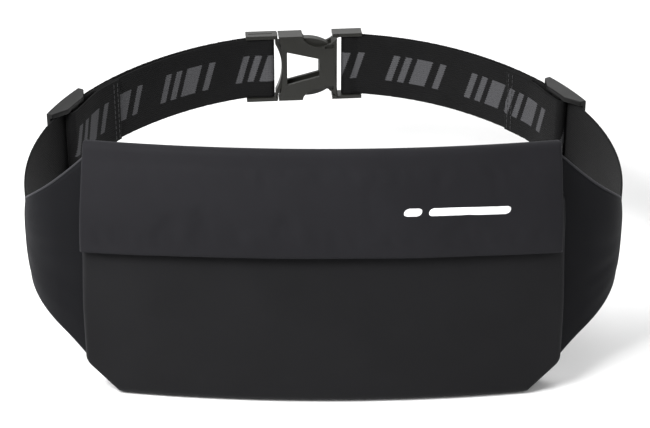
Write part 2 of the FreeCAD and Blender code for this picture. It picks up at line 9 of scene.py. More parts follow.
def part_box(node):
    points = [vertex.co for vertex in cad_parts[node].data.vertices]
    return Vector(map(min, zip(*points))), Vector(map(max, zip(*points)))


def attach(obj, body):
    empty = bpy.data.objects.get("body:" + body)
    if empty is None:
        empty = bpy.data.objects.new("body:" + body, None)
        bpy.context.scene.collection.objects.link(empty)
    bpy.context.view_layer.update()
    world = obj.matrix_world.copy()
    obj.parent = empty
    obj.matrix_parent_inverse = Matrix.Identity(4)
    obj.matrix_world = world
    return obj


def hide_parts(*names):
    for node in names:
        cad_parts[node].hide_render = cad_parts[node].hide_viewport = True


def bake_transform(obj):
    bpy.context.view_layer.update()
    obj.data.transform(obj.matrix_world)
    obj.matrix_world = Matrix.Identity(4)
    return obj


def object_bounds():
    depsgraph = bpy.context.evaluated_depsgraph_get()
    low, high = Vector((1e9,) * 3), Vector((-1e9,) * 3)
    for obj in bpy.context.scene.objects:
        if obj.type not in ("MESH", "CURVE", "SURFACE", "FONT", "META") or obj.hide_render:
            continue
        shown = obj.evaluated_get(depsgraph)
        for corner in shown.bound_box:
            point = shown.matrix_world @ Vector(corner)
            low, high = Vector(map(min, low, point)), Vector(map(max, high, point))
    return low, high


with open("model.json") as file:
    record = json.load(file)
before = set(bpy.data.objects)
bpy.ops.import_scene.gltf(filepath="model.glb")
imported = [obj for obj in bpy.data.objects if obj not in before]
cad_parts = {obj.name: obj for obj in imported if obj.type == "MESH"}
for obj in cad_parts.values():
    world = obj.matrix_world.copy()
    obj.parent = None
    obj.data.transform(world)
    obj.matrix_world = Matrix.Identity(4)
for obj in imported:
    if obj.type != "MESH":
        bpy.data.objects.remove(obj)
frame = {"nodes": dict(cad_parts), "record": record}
cad_low, cad_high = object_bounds()

# Waist pack: soft pouch with a fold-over flap, wings, doubled elastic belt, slide adjusters
# and a side-release buckle. Shapes are worked out in millimetres and stored in metres.

MM = 0.001
DETAIL = 100.0               # texture coordinates are millimetres divided by this


def node_box(name):
    low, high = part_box(name)
    return np.array(low) / MM, np.array(high) / MM


def joint_of(name):
    return next(j for j in frame["record"]["behaviour"]["joints"] if j["name"] == name)


# ---- driving dimensions, from the frame where it has them ----
back_low, back_high = node_box("pouch_back_panel")
flap_low, flap_high = node_box("flap_panel")
mouth_low, mouth_high = node_box("pocket_mouth_tape")
fold_low, fold_high = node_box("pouch_top_fold")
divider_low, divider_high = node_box("pocket_divider")
hook_low, hook_high = node_box("flap_hook_strip")
loop_low, loop_high = node_box("front_loop_strip")
web_high = node_box("strap_main_right")[1]

BACK_RADIUS = 684.0
BACK_HALF = 1.0
POUCH_AXIS = np.array([0.0, back_low[1] + BACK_RADIUS + BACK_HALF])
SIDE = BACK_RADIUS * math.asin(back_high[0] / (BACK_RADIUS + BACK_HALF))
FLAP_RADIUS = POUCH_AXIS[1] - flap_low[1]
FLAP_SIDE = BACK_RADIUS * math.asin(flap_high[0] / FLAP_RADIUS)
POUCH_BOTTOM = back_low[2]
BACK_TOP = back_high[2]
CORNER = (17.0, 18.0)        # width and height of the front's slanted lower corners
BACK_CORNER = (8.0, 10.0)
POCKET_DEPTH = 14.0          # from the back panel's face to the front panel's outer face
MOUTH_HEIGHT = mouth_low[2]
MOUTH_LEAN = 5.0
BEND_HEIGHT = 25.0
FLAP_LOWER_EDGE = flap_low[2]

WEB_HALF = web_high[2]
WEB_THICKNESS = 1.4
CLOTH_WEB = 1.15             # drawn a little thinner, so that the layers stay apart
LOOP_HALF_WIDTH = web_high[0] - WEB_THICKNESS / 2
LOOP_BACK = 163.0
SIDE_CENTRE = np.array(joint_of("slider_right_travel")["pos_m"][:2]) / MM
SIDE_RADIUS = LOOP_HALF_WIDTH - SIDE_CENTRE[0]
INNER_LAYER = -2.9
LEG_LAYER = -4.15
TAIL_LAYER = -1.65
BAR_LAYER = -6.95
RIGHT_SLIDER_ANGLE = 28.2
LEFT_SLIDER_ANGLE = 22.6
SEWN_END_LENGTH = 14.5
WING_RADIUS = 22.0
WING_TOP = 55.0
WING_BOTTOM = -64.0
WING_END_TOP = 20.3
WING_END_BOTTOM = -22.5
WING_OVERLAP = 0.8           # degrees that the wing reaches along the side arc
WING_STEP = 1.3

slide = joint_of("buckle_release")["axis"]
BUCKLE_TURN = math.degrees(math.atan2(-slide[1], -slide[0]))
BUCKLE_INSET = 4.7
SOCKET_FOLD = 22.4
PLUG_FOLD = 17.6
FOLD_RADIUS = 2.4
STRAP_MEETS_BUCKLE = 37.0
WEB_STEP = 0.55              # between places along a ribbon of webbing

# name, mirrored or not, the slider's body, the slider's place in degrees, the buckle's fold
SIDES = (
    ("right", False, "slider_r", RIGHT_SLIDER_ANGLE, SOCKET_FOLD),
    ("left", True, "slider_l", LEFT_SLIDER_ANGLE, PLUG_FOLD),
)


# ---- plan geometry ----
def on_circle(radius, degrees, centre=(0.0, 0.0)):
    angle = np.radians(degrees)
    return np.stack([centre[0] + radius * np.cos(angle), centre[1] + radius * np.sin(angle)], -1)


def direction(start, stop):
    return math.degrees(math.atan2(stop[1] - start[1], stop[0] - start[0]))


def on_pouch(across, radius, height):
    """Points on the pouch, which curves in plan. across is measured along the back panel."""
    angle = across / BACK_RADIUS
    return np.stack(
        [radius * np.sin(angle), POUCH_AXIS[1] - radius * np.cos(angle), height + 0 * angle], -1
    )


def back_arc():
    """The arc across the wearer's back, tangent to both side arcs: centre, radius, junction."""
    spare = SIDE_RADIUS - LOOP_BACK
    reach = SIDE_CENTRE[0] ** 2 + SIDE_CENTRE[1] ** 2 - spare ** 2
    centre = np.array([0.0, reach / (2 * (spare + SIDE_CENTRE[1]))])
    return centre, LOOP_BACK - centre[1], direction(SIDE_CENTRE, centre)


def wing_arc():
    """The arc that joins the pouch to the side arc: centre, its angles at the side and pouch."""
    reach_side = SIDE_RADIUS - WING_RADIUS
    reach_pouch = BACK_RADIUS - WING_RADIUS
    apart = POUCH_AXIS - SIDE_CENTRE
    length = np.linalg.norm(apart)
    along = (reach_side ** 2 - reach_pouch ** 2 + length ** 2) / (2 * length)
    across = math.sqrt(reach_side ** 2 - along ** 2)
    unit = apart / length
    centre = SIDE_CENTRE + unit * along + np.array([unit[1], -unit[0]]) * across
    return centre, direction(SIDE_CENTRE, centre), direction(POUCH_AXIS, centre)


BACK_CENTRE, LOOP_RADIUS, JUNCTION_ANGLE = back_arc()
WING_CENTRE, STRAP_ANGLE, WING_ANGLE = wing_arc()
BUCKLE_RADIUS = LOOP_RADIUS - BUCKLE_INSET
POUCH_EDGE_ANGLE = math.degrees(SIDE / BACK_RADIUS) - 90.0


def arc_points(centre, radius, start, stop):
    count = max(3, int(abs(stop - start) * math.pi / 180 * radius / 2.0) + 1)
    return on_circle(radius, np.linspace(start, stop, count), centre)


def side_arc(layer, start, stop):
    return arc_points(SIDE_CENTRE, SIDE_RADIUS + layer, start, stop)


def rear_arc(layer, start, stop):
    return arc_points(BACK_CENTRE, LOOP_RADIUS + layer, start, stop)


def joined(*stretches):
    """One line through several stretches, leaving out places that repeat."""
    points = np.vstack(stretches)
    apart = np.linalg.norm(np.diff(points, axis=0), axis=1)
    return points[np.concatenate([[True], apart > 0.3])]


def mirrored(points):
    return points * np.array([-1.0] + [1.0] * (points.shape[-1] - 1))


def smooth_path(points, step):
    """A Catmull-Rom line through the points, sampled at even steps."""
    points = np.asarray(points, float)
    padded = np.vstack([2 * points[0] - points[1], points, 2 * points[-1] - points[-2]])
    fine = []
    for a, b, c, d in zip(padded, padded[1:], padded[2:], padded[3:]):
        t = np.linspace(0, 1, 24, endpoint=False)[:, None]
        fine.append(
            0.5 * (2 * b + (c - a) * t + (2 * a - 5 * b + 4 * c - d) * t ** 2
                   + (3 * b - a - 3 * c + d) * t ** 3)
        )
    fine = np.vstack(fine + [points[-1:]])
    return resample(fine, step)


def run_along(points):
    """How far along its line each point is."""
    return np.concatenate([[0], np.cumsum(np.linalg.norm(np.diff(points, axis=0), axis=1))])


def resample(points, step):
    run = run_along(points)
    count = max(2, int(round(run[-1] / step)) + 1)
    even = np.linspace(0, run[-1], count)
    return np.stack([np.interp(even, run, points[:, k]) for k in range(points.shape[1])], -1)


def unit(vectors):
    return vectors / np.linalg.norm(vectors, axis=-1, keepdims=True)


def paired(first, second):
    """Pairs of values from two arrays that stretch to the same shape."""
    return np.stack(np.broadcast_arrays(first, second), -1)


def sideways(path):
    along = unit(np.gradient(path, axis=0))
    return np.stack([along[:, 1], -along[:, 0]], -1)


def beside(path, normal, out, height):
    """A grid of points: for each place on a plan line, places outwards from it and up."""
    plan = path[:, None, :] + normal[:, None, :] * out[..., None]
    height = np.broadcast_to(height, plan.shape[:2])
    return np.concatenate([plan, height[..., None]], axis=-1)


def ease(share):
    share = np.clip(share, 0.0, 1.0)
    return share * share * (3 - 2 * share)


def ripple(across, up, scale, seed):
    """Smooth unevenness of cloth, from -1 to 1, the same on every run."""
    flat_across, flat_up = np.broadcast_arrays(across, up)
    values = [
        noise.noise(Vector((a / scale, u / scale, seed)))
        for a, u in zip(flat_across.ravel(), flat_up.ravel())
    ]
    return np.array(values).reshape(flat_across.shape)


# ---- meshes ----
def mesh_piece(name, points, faces, texture, materials, face_materials=None, smooth=True):
    """points in millimetres; texture has one pair for each point."""
    mesh = bpy.data.meshes.new(name)
    mesh.from_pydata([tuple(p * MM) for p in np.asarray(points, float)], [], faces)
    mesh.validate()
    layer = mesh.uv_layers.new(name="UVMap")
    corners = np.empty(len(mesh.loops), np.int32)
    mesh.loops.foreach_get("vertex_index", corners)
    layer.data.foreach_set("uv", (np.asarray(texture, float)[corners] / DETAIL).ravel())
    for material in materials:
        mesh.materials.append(material)
    if face_materials is not None:
        mesh.polygons.foreach_set("material_index", np.asarray(face_materials, np.int32))
    mesh.polygons.foreach_set("use_smooth", [smooth] * len(mesh.polygons))
    piece = bpy.data.objects.new(name, mesh)
    bpy.context.scene.collection.objects.link(piece)
    return piece


def grid_faces(rows, columns, closed=False):
    faces = []
    last = columns if closed else columns - 1
    for i in range(rows - 1):
        for j in range(last):
            k = (j + 1) % columns
            here, after = i * columns, (i + 1) * columns
            faces.append((here + j, here + k, after + k, after + j))
    return faces


def tube_faces(rows, columns):
    """Faces of a closed ring of points swept along a line, with a cap at each end."""
    last = (rows - 1) * columns
    caps = [tuple(range(columns))[::-1], tuple(last + k for k in range(columns))]
    return grid_faces(rows, columns, closed=True) + caps


def tube(name, points, texture, material):
    faces = tube_faces(*points.shape[:2])
    piece = mesh_piece(name, points.reshape(-1, 3), faces, texture.reshape(-1, 2), [material])
    tidy_normals(piece)
    return piece


def facing_front(points):
    """Faces of a grid of points, wound so that on the whole they face the front (-Y)."""
    rows, columns = points.shape[:2]
    faces = grid_faces(rows, columns)
    along = points[1:, :-1] - points[:-1, :-1]
    across = points[:-1, 1:] - points[:-1, :-1]
    towards_back = np.cross(across, along)[..., 1].sum() > 0
    return [face[::-1] for face in faces] if towards_back else faces


def cloth_grid(name, points, texture, material, thickness):
    """A closed sheet: the grid is its front face, and the thickness goes inwards."""
    faces = facing_front(points)
    piece = mesh_piece(name, points.reshape(-1, 3), faces, texture.reshape(-1, 2), [material])
    solid = piece.modifiers.new("thickness", "SOLIDIFY")
    solid.thickness = thickness * MM
    solid.offset = -1.0
    solid.use_even_offset = True
    apply_modifiers(piece)
    return piece


def apply_modifiers(piece):
    graph = bpy.context.evaluated_depsgraph_get()
    graph.update()
    done = bpy.data.meshes.new_from_object(piece.evaluated_get(graph))
    piece.modifiers.clear()
    old = piece.data
    piece.data = done
    done.name = old.name + "_done"
    bpy.data.meshes.remove(old)


def change_mesh(mesh, change):
    shape = bmesh.new()
    shape.from_mesh(mesh)
    change(shape)
    shape.to_mesh(mesh)
    shape.free()


def tidy_normals(piece):
    change_mesh(piece.data, lambda shape: bmesh.ops.recalc_face_normals(shape, faces=shape.faces))


def section_sweep(name, path, section, materials, face_materials=None, lift=0.0, sense=1.0):
    """Sweeps a closed section of (outward, height) points along a plan path, with end caps."""
    points = beside(path, sideways(path), section[None, :, 0], section[None, :, 1])
    points[..., 2] += lift
    texture = paired(sense * run_along(path)[:, None], points[..., 2])
    kinds = None
    if face_materials is not None:
        kinds = list(np.tile(face_materials, len(path) - 1)) + [0, 0]
    faces = tube_faces(len(path), len(section))
    return mesh_piece(
        name, points.reshape(-1, 3), faces, texture.reshape(-1, 2), materials, kinds
    )


# ---- materials ----
class Finish:
    """A material made of a Principled shader and a small graph of nodes."""

    def __init__(self, name):
        self.material = bpy.data.materials.new(name)
        self.material.use_nodes = True
        self.tree = self.material.node_tree
        self.shader = self.tree.nodes["Principled BSDF"]
        place = self.tree.nodes.new("ShaderNodeUVMap")
        place.uv_map = "UVMap"
        split = self.tree.nodes.new("ShaderNodeSeparateXYZ")
        self.tree.links.new(place.outputs[0], split.inputs[0])
        self.along = self.maths("MULTIPLY", split.outputs[0], DETAIL)
        self.across = self.maths("MULTIPLY", split.outputs[1], DETAIL)
        self.place = self.tree.nodes.new("ShaderNodeTexCoord").outputs["Object"]

    def maths(self, operation, a, b=0.0, c=0.0):
        made = self.tree.nodes.new("ShaderNodeMath")
        made.operation = operation
        for socket, value in zip(made.inputs, (a, b, c)):
            if isinstance(value, bpy.types.NodeSocket):
                self.tree.links.new(value, socket)
            else:
                socket.default_value = value
        return made.outputs[0]

    def scaled(self, value, gain, base):
        return self.maths("MULTIPLY_ADD", value, gain, base)

    def waves(self, value, pitch):
        """A wave from -1 to 1 with this pitch in millimetres."""
        return self.maths("SINE", self.maths("MULTIPLY", value, 2 * math.pi / pitch))

    def cloudy(self, size, detail=2.0):
        """Noise from 0 to 1 with features of this size in millimetres."""
        made = self.tree.nodes.new("ShaderNodeTexNoise")
        made.inputs["Scale"].default_value = 1.0 / (size * MM)
        made.inputs["Detail"].default_value = detail
        self.tree.links.new(self.place, made.inputs["Vector"])
        return made.outputs["Fac"]

    def blend(self, share, dark, light):
        made = self.tree.nodes.new("ShaderNodeMix")
        made.data_type = "RGBA"
        colours = [s for s in made.inputs if s.type == "RGBA"]
        self.tree.links.new(share, made.inputs[0])
        for socket, value in zip(colours, (dark, light)):
            if isinstance(value, bpy.types.NodeSocket):
                self.tree.links.new(value, socket)
            else:
                socket.default_value = (*value, 1.0)
        return next(s for s in made.outputs if s.type == "RGBA")

    def colour(self, socket):
        self.tree.links.new(socket, self.shader.inputs["Base Color"])

    def roughness(self, socket):
        self.tree.links.new(socket, self.shader.inputs["Roughness"])

    def relief(self, height, depth):
        """Bump of this depth in millimetres for a height from 0 to 1."""
        made = self.tree.nodes.new("ShaderNodeBump")
        made.inputs["Strength"].default_value = 1.0
        made.inputs["Distance"].default_value = depth * MM
        self.tree.links.new(height, made.inputs["Height"])
        self.tree.links.new(made.outputs[0], self.shader.inputs["Normal"])

    def constant(self, **values):
        for name, value in values.items():
            self.shader.inputs[name.replace("_", " ")].default_value = value


def woven_fabric(name, dark, light, sheen):
    """Fine plain weave with a soft nap and slightly uneven dye."""
    finish = Finish(name)
    warp = finish.waves(finish.along, 0.55)
    weft = finish.waves(finish.across, 0.55)
    weave = finish.scaled(finish.maths("MULTIPLY", warp, weft), 0.5, 0.5)
    fibres = finish.cloudy(0.4, 3.0)
    shade = finish.scaled(finish.cloudy(38.0, 3.0), 0.7, -0.05)
    shade = finish.scaled(fibres, 0.3, shade)
    shade = finish.scaled(weave, 0.15, shade)
    finish.colour(finish.blend(shade, dark, light))
    finish.roughness(finish.scaled(fibres, 0.2, 0.62))
    height = finish.scaled(fibres, 0.6, weave)
    finish.relief(height, 0.05)
    finish.constant(Sheen_Weight=sheen, Sheen_Roughness=0.45, Sheen_Tint=(0.75, 0.75, 0.85, 1.0))
    finish.constant(Specular_IOR_Level=0.12)
    return finish.material


def elastic_webbing(name, patterned):
    """Knitted elastic: cords along its length, crossed by a fine slanted knit."""
    finish = Finish(name)
    cords = finish.waves(finish.across, 1.35)
    knit = finish.waves(finish.maths("ADD", finish.along, finish.across), 1.1)
    counter = finish.waves(finish.maths("SUBTRACT", finish.along, finish.across), 1.6)
    height = finish.scaled(cords, 0.25, 0.5)
    height = finish.scaled(knit, 0.2, height)
    height = finish.scaled(counter, 0.08, height)
    fuzz = finish.cloudy(0.5, 3.0)
    height = finish.scaled(fuzz, 0.5, height)
    shade = finish.scaled(finish.cloudy(14.0), 0.5, finish.maths("MULTIPLY", height, 0.5))
    base = finish.blend(shade, (0.002, 0.002, 0.0021), (0.0085, 0.0085, 0.0088))
    if patterned:
        base = finish.blend(woven_bars(finish), base, (0.085, 0.085, 0.09))
    finish.colour(base)
    finish.roughness(finish.scaled(fuzz, 0.15, 0.75))
    finish.relief(height, 0.22)
    finish.constant(Sheen_Weight=0.02, Sheen_Roughness=0.5, Specular_IOR_Level=0.09)
    return finish.material


def woven_bars(finish):
    """Plain slanted bars in grey yarn, repeated along the webbing, with knitted edges."""
    repeat = 52.0
    half_height = 8.5
    jag = finish.maths("MULTIPLY", finish.waves(finish.across, 1.35), 0.3)
    slanted = finish.scaled(finish.across, -0.32, finish.along)
    place = finish.maths("WRAP", finish.maths("ADD", slanted, jag), repeat, 0.0)
    total = None
    for start, stop in ((3.0, 7.0), (10.5, 14.5), (18.0, 28.0), (33.0, 37.0)):
        middle = (start + stop) / 2
        inside = finish.maths("COMPARE", place, middle, (stop - start) / 2)
        total = inside if total is None else finish.maths("MAXIMUM", total, inside)
    tall = finish.maths("LESS_THAN", finish.maths("ABSOLUTE", finish.across), half_height)
    yarn = finish.scaled(finish.waves(finish.along, 0.9), 0.12, 0.8)
    return finish.maths("MULTIPLY", finish.maths("MULTIPLY", total, tall), yarn)


def moulded_plastic(name, colour, roughness, shine_level):
    """Satin moulded plastic with a fine grain and slightly polished wear."""
    finish = Finish(name)
    grain = finish.cloudy(0.35, 2.0)
    wear = finish.cloudy(9.0, 3.0)
    light = tuple(1.5 * c for c in colour)
    finish.colour(finish.blend(finish.scaled(wear, 0.8, 0.0), colour, light))
    shine = finish.scaled(grain, 0.12, finish.maths("MULTIPLY", wear, 0.14))
    finish.roughness(finish.maths("ADD", shine, roughness - 0.13))
    finish.relief(grain, 0.02)
    finish.constant(Specular_IOR_Level=shine_level)
    return finish.material


def spacer_mesh(name):
    """Open knitted spacer fabric: staggered round holes over a padded core."""
    finish = Finish(name)
    pitch = 3.2
    across = finish.waves(finish.across, pitch)
    along = finish.waves(finish.along, pitch * 1.15)
    cells = finish.scaled(finish.maths("MULTIPLY", across, along), 0.5, 0.5)
    hole = finish.maths("SMOOTH_MIN", finish.maths("MULTIPLY", cells, 2.2), 1.0, 0.2)
    fuzz = finish.cloudy(0.5, 3.0)
    shade = finish.maths("MULTIPLY", hole, finish.scaled(fuzz, 0.5, 0.6))
    finish.colour(finish.blend(shade, (0.004, 0.004, 0.0045), (0.028, 0.028, 0.030)))
    finish.roughness(finish.scaled(fuzz, 0.15, 0.75))
    finish.relief(hole, 0.5)
    finish.constant(Sheen_Weight=0.15, Sheen_Roughness=0.5, Specular_IOR_Level=0.2)
    return finish.material


def pile_tape(name, size):
    """Hook or loop tape: a dense pile of tiny bristles on a woven ground."""
    finish = Finish(name)
    tufts = finish.cloudy(size, 2.0)
    rows = finish.waves(finish.along, 1.5)
    height = finish.scaled(rows, 0.15, tufts)
    finish.colour(finish.blend(height, (0.004, 0.004, 0.004), (0.035, 0.035, 0.037)))
    finish.roughness(finish.scaled(tufts, 0.3, 0.5))
    finish.relief(height, 0.5)
    finish.constant(Specular_IOR_Level=0.35)
    return finish.material


def reflective_print(name):
    finish = Finish(name)
    beads = finish.cloudy(0.25, 2.0)
    finish.colour(finish.blend(beads, (0.78, 0.78, 0.80), (0.98, 0.98, 1.0)))
    finish.roughness(finish.scaled(beads, 0.2, 0.3))
    finish.relief(beads, 0.02)
    return finish.material


def sewing_thread(name, colour):
    finish = Finish(name)
    twist = finish.cloudy(0.3, 2.0)
    finish.colour(finish.blend(twist, tuple(0.6 * c for c in colour), colour))
    finish.roughness(finish.scaled(twist, 0.2, 0.45))
    finish.relief(twist, 0.05)
    return finish.material


# The front panel and the flap are one fabric. The front's copy is darker, painted shade for the
# front lying in less light below the flap.
BODY_FABRIC_PAINTED_SHADE = woven_fabric("body_cloth", (0.0034, 0.0034, 0.0039), (0.0088, 0.0088, 0.0098), 0.022)
# The flap's copy of the same fabric is lighter, painted light for the flap's upper face leaning
# back towards the light.
FLAP_FABRIC_PAINTED_LIGHT = woven_fabric("flap_cloth", (0.005, 0.0049, 0.006), (0.0118, 0.0115, 0.0138), 0.04)
# The wings' copy of the same fabric is the darkest, painted shade for the wings set back behind the
# pouch.
WING_FABRIC_PAINTED_SHADE = woven_fabric("wing_cloth", (0.0017, 0.0018, 0.0026), (0.0052, 0.0054, 0.0068), 0.014)
LINING = woven_fabric("lining_cloth", (0.02, 0.02, 0.022), (0.035, 0.035, 0.038), 0.05)
EDGE_TAPE = woven_fabric("edge_tape", (0.016, 0.016, 0.018), (0.034, 0.034, 0.037), 0.12)
PLAIN_WEB = elastic_webbing("webbing_plain", False)
BARRED_WEB = elastic_webbing("webbing_barred", True)
BUCKLE_PLASTIC = moulded_plastic("buckle_satin", (0.013, 0.013, 0.0112), 0.40, 0.34)
SLIDER_PLASTIC = moulded_plastic("slider_satin", (0.005, 0.005, 0.005), 0.42, 0.16)
BACK_MESH = spacer_mesh("back_spacer_mesh")
HOOK_TAPE = pile_tape("hook_pile", 0.9)
LOOP_TAPE = pile_tape("loop_pile", 0.6)
REFLECTIVE = reflective_print("reflective_film")
THREAD = sewing_thread("dark_thread", (0.03, 0.03, 0.032))


# ---- camera, floor and light ----
def set_the_stage():
    scene = bpy.context.scene
    data = bpy.data.cameras.new("camera")
    data.sensor_width = 36.0
    data.lens = 114.6
    data.clip_start = 0.05
    data.clip_end = 50.0
    camera = bpy.data.objects.new("camera", data)
    camera.location = (-0.0005, -0.9797, 0.5221)
    looks_down = 28.77
    camera.rotation_euler = (math.radians(90.0 - looks_down), 0.0, 0.0)
    data.shift_x = 0.004
    scene.collection.objects.link(camera)
    scene.camera = camera
    scene.view_settings.view_transform = "Standard"

    paper = Finish("pale_floor")
    paper.colour(paper.blend(paper.cloudy(300.0), (0.86, 0.86, 0.86), (0.9, 0.9, 0.9)))
    paper.constant(Roughness=0.9, Specular_IOR_Level=0.1)
    half = 4000.0
    plan = [(-half, -half), (half, -half), (half, half), (-half, half)]
    corners = [(x, y, 0.0) for x, y in plan]
    floor = mesh_piece("floor", corners, [(0, 1, 2, 3)], plan, [paper.material])
    floor.location.z = cad_low.z - 0.3 * MM

    world = bpy.data.worlds.new("studio")
    world.use_nodes = True
    sky = world.node_tree.nodes["Background"]
    sky.inputs["Color"].default_value = (1.0, 1.0, 1.0, 1.0)
    sky.inputs["Strength"].default_value = 0.50
    scene.world = world
    for name, place, size, power in (
        ("key_light", (-1.1, -0.9, 1.5), 1.0, 30.0),
        ("near_light", (-0.28, -0.34, 0.46), 0.26, 3.8),
        ("fill_light", (1.3, -1.0, 1.0), 1.4, 6.0),
        ("back_light", (0.2, 1.3, 1.3), 1.2, 16.0),
    ):
        lamp = bpy.data.lights.new(name, "AREA")
        lamp.size = size
        lamp.energy = power
        light = bpy.data.objects.new(name, lamp)
        light.location = place
        light.rotation_euler = (-Vector(place)).to_track_quat("-Z", "Y").to_euler()
        scene.collection.objects.link(light)


# ---- cloth ----
def settle(points, pinned, pressure, slack, cap):
    """Lets a sheet bulge and buckle as cloth between its pinned edges. cap is in millimetres."""
    scene = bpy.context.scene
    flat = points.reshape(-1, 3)
    cloth = mesh_piece("settling", flat, facing_front(points), flat[:, :2], [])
    held = cloth.vertex_groups.new(name="held")
    held.add([int(k) for k in np.flatnonzero(pinned.ravel())], 1.0, "REPLACE")
    simulation = cloth.modifiers.new("cloth", "CLOTH")
    simulation.collision_settings.use_collision = False
    cloth_rules = simulation.settings
    cloth_rules.vertex_group_mass = "held"
    cloth_rules.quality = 6
    cloth_rules.mass = 0.25
    cloth_rules.bending_stiffness = 0.6
    cloth_rules.shrink_min = -slack
    cloth_rules.use_pressure = True
    cloth_rules.uniform_pressure_force = pressure
    cloth_rules.effector_weights.gravity = 0.0
    last_frame = 20
    for step in range(1, last_frame + 1):
        scene.frame_set(step)
    graph = bpy.context.evaluated_depsgraph_get()
    settled = bpy.data.meshes.new_from_object(cloth.evaluated_get(graph))
    moved = np.empty(len(flat) * 3)
    settled.vertices.foreach_get("co", moved)
    shift = moved.reshape(-1, 3) / MM - flat
    size = np.linalg.norm(shift, axis=1, keepdims=True)
    shift *= np.minimum(1.0, cap / np.maximum(size, 1e-6))
    bpy.data.objects.remove(cloth)
    bpy.data.meshes.remove(settled)
    scene.frame_set(1)
    return points + shift.reshape(points.shape)


# ---- pouch ----
def lower_edge(across, corner):
    """Height of the pouch's outline, with its slanted lower corners."""
    width, height = corner
    return POUCH_BOTTOM + np.maximum(0.0, np.abs(across) - (SIDE - width)) * height / width


def rounding(distance, radius):
    share = np.clip(distance / radius, 0.0, 1.0)
    return np.sqrt(1 - (1 - share) ** 2)


def spread(length, edge, step):
    """Places from 0 to length, close together near 0 where the cloth turns sharply."""
    near = edge * np.array([0, 0.01, 0.04, 0.09, 0.17, 0.27, 0.4, 0.55, 0.75, 1.0])
    count = int((length - edge) / step)
    return np.concatenate([near, np.linspace(edge, length, count + 1)[1:]])


def across_places(half, edge, step):
    right = half - spread(half, edge, step)
    return np.concatenate([-right, right[::-1][1:]])


def tray_edge(radius, length, step):
    """(distance in from the outline, share of the depth) over a flat wall and a rounded edge."""
    wall = [(0.0, share) for share in (0.0, 0.25, 0.5)]
    depth = POCKET_DEPTH - radius
    turns = np.radians(np.linspace(0.0, 90.0, 8))
    bend = [
        (radius * (1 - math.cos(t)), (depth + radius * math.sin(t)) / POCKET_DEPTH) for t in turns
    ]
    count = int((length - radius) / step)
    flat = [(place, 1.0) for place in np.linspace(radius, length, count + 1)[1:]]
    return np.array(wall + bend + flat)


def make_front():
    """The front panel with its walls: flat at the hems, a soft belly, tucked in under the flap."""
    side_round, foot_round, step = 3.5, 4.5, 2.6
    flare, belly_bulge, tuck = 0.019, 1.4, 1.9
    half = tray_edge(side_round, SIDE, step)
    inward = np.concatenate([half[:, 0], half[::-1, 0][1:]])
    side_share = np.concatenate([half[:, 1], half[::-1, 1][1:]])[:, None]
    sign = np.concatenate([-np.ones(len(half)), np.ones(len(half) - 1)])
    across = (sign * (SIDE - inward))[:, None]
    tall = MOUTH_HEIGHT - POUCH_BOTTOM
    rise = tray_edge(foot_round, tall, step)
    foot = lower_edge(across, CORNER)
    height = foot + rise[None, :, 0] * (MOUTH_HEIGHT - foot) / tall
    depth = POCKET_DEPTH * side_share * rise[None, :, 1]
    lean = np.clip((height - BEND_HEIGHT) / (MOUTH_HEIGHT - BEND_HEIGHT), 0, 1) ** 1.3
    from_side = SIDE - np.abs(across)
    from_foot = height - foot
    under_flap = height - FLAP_LOWER_EDGE
    belly = ease(from_side / 60.0) * ease(from_foot / 45.0) * ease((6.0 - under_flap) / 45.0)
    soft = ripple(across, height, 34.0, 3.0) * 0.8 + ripple(across, height, 15.0, 8.0) * 0.25
    soft = soft * ease(from_side / 18.0) * ease(from_foot / 14.0)
    room = np.clip((3.0 - under_flap) / 12.0, 0.2, 1.0)
    radius = BACK_RADIUS + BACK_HALF + depth - MOUTH_LEAN * lean * side_share
    radius = radius + (belly_bulge * belly + soft) * room
    tucked = ease((under_flap + 5.0) / 4.0) * ease((6.0 - under_flap) / 4.0)
    radius = radius - tuck * tucked * ease(from_side / 10.0)
    widening = 1 + flare * side_share * ease((28.0 - height) / 60.0)
    points = on_pouch(across * widening, radius, height)
    pinned = (from_side < 9.0) | (from_foot < 9.0) | (under_flap > -2.0)
    points = settle(points, pinned, 3.0, 0.02, 1.6)
    texture = paired(across, height)
    piece = cloth_grid("pouch_front_cloth", points, texture, BODY_FABRIC_PAINTED_SHADE, 1.3)
    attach(piece, "pouch")
    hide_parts("pouch_front_panel")


def flap_profile():
    """The flap's cloth in section: (radius, height), from the wearer's side over the top."""
    roll = 3.9
    middle = BACK_RADIUS + 3.0
    foot = fold_high[2] - roll
    lean = 15.0
    turns = np.radians(np.linspace(180.0, lean, 9))
    points = [(middle - roll, foot - 9.0), (middle - roll, foot - 4.0)]
    points += [(middle + roll * math.cos(t), foot + roll * math.sin(t)) for t in turns]
    top_radius, top_height = points[-1]
    for share in (0.3, 0.55, 0.8):
        height = top_height + (BEND_HEIGHT + 3.0 - top_height) * share
        points.append((top_radius + (FLAP_RADIUS - 0.6 - top_radius) * share ** 0.9, height))
    points += [(FLAP_RADIUS - 0.25, BEND_HEIGHT - 2.0), (FLAP_RADIUS + 0.5, FLAP_LOWER_EDGE)]
    return smooth_path(points, 1.5)


